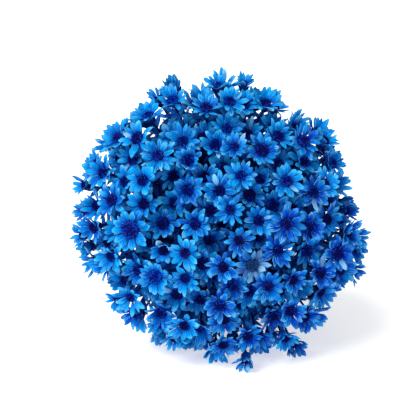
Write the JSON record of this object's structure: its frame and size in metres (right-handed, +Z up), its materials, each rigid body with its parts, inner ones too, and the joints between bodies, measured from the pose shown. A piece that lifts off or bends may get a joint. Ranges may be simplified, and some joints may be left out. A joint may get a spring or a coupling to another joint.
{
  "type": "bunch of dried everlasting daisies",
  "caption": "A round, tied bunch of small dried everlasting daisies dyed blue, lying on its side on its flower heads and cut stems.",
  "frame": {"origin": "on the table, under the middle of the lying bunch's bounding box", "axes": "+Z up from the table, -Y towards the flower heads, +Y towards the cut stem ends, X across the bunch"},
  "size_m": [0.1186, 0.272, 0.112],
  "materials": {
    "dyed_flower": "matte, dyed and dried petals on thin dark stems",
    "band": "plain elastic band"
  },
  "bodies": {
    "root": {"sprig_01": "dyed_flower", "sprig_02": "dyed_flower", "sprig_03": "dyed_flower", "sprig_04": "dyed_flower", "sprig_05": "dyed_flower", "sprig_06": "dyed_flower", "sprig_07": "dyed_flower", "sprig_08": "dyed_flower", "sprig_09": "dyed_flower", "sprig_10": "dyed_flower", "sprig_11": "dyed_flower", "sprig_12": "dyed_flower", "sprig_13": "dyed_flower", "sprig_14": "dyed_flower", "sprig_15": "dyed_flower", "sprig_16": "dyed_flower", "sprig_17": "dyed_flower", "sprig_18": "dyed_flower", "sprig_19": "dyed_flower", "sprig_20": "dyed_flower", "sprig_21": "dyed_flower", "sprig_22": "dyed_flower", "sprig_23": "dyed_flower", "sprig_24": "dyed_flower", "band": "band"}
  },
  "joints": []
}
